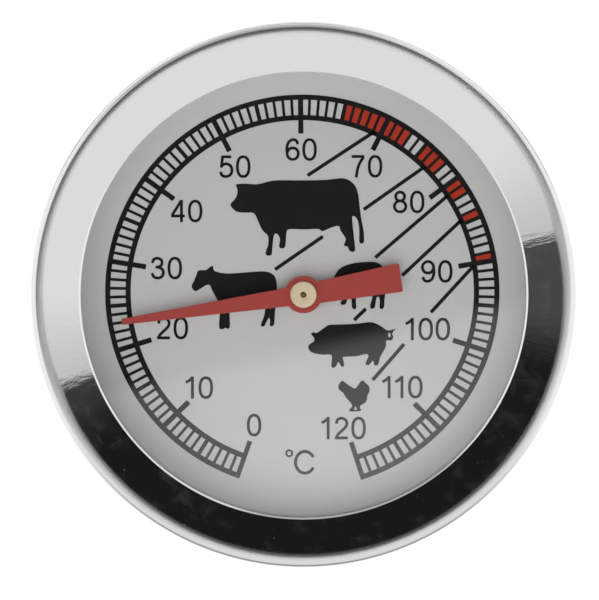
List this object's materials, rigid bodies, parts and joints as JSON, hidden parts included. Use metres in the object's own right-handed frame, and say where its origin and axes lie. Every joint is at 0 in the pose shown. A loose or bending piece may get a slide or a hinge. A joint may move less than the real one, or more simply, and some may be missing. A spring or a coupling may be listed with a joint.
{
  "type": "meat thermometer",
  "caption": "Round stainless dial thermometer for meat: a glazed dial with a red pointer and meat pictograms, on a thin pointed probe stem driven by a bimetal coil.",
  "frame": {"origin": "on the stem's axis, in the plane of the case's flat back, where the stem leaves the head", "axes": "+Y along the stem towards its point, so the dial faces -Y; +Z to the top of the dial"},
  "size_m": [0.052, 0.132, 0.052],
  "materials": {
    "polished_steel": "mirror-polished stainless steel with fine turned brushing on the band",
    "satin_steel": "satin drawn stainless steel",
    "stem_steel": "polished stainless tube with fine rings",
    "spring_steel": "plain",
    "bimetal": "rolled strip, warm grey on one side",
    "brass": "turned",
    "hub_brass": "turned face, slightly dull",
    "clear_glass": "flat clear window",
    "dial_silver": "satin silver lacquered sheet",
    "dial_ink_black": "screen-printed black ink",
    "dial_ink_red": "screen-printed red ink",
    "pointer_red": "semi-matte red paint on aluminium sheet",
    "black_rubber": "moulded",
    "white_plastic": "moulded",
    "black_plastic": "moulded"
  },
  "bodies": {
    "stem": {"stem_tube": "stem_steel", "stem_tip": "stem_steel", "hex_collar": "satin_steel", "seal_washer": "black_rubber", "flat_washer": "satin_steel", "wave_washer": "spring_steel", "lock_nut": "brass", "upper_bush": "brass", "lower_bush": "brass", "bimetal_coil": "bimetal", "coil_anchor": "brass"},
    "head": {"bezel_ring": "polished_steel", "window_glass": "clear_glass", "window_gasket": "black_rubber", "dial_spacer": "white_plastic", "dial_plate": "dial_silver", "dial_support_ring": "black_plastic", "case_cup": "satin_steel"},
    "movement": {"pointer": "pointer_red", "pointer_hub": "hub_brass", "spindle": "spring_steel", "coil_collar": "brass"}
  },
  "joints": [
    {"name": "pointer_turn", "type": "hinge", "parent": "stem", "child": "movement", "pos_m": [0, 0, 0], "axis": [0, 1, 0], "range_deg": [-63.45, 260.55], "stiffness_Nm_per_rad": 0.0005},
    {"name": "head_swivel", "type": "hinge", "parent": "stem", "child": "head", "pos_m": [0, 0, 0], "axis": [0, 1, 0], "continuous": true}
  ]
}
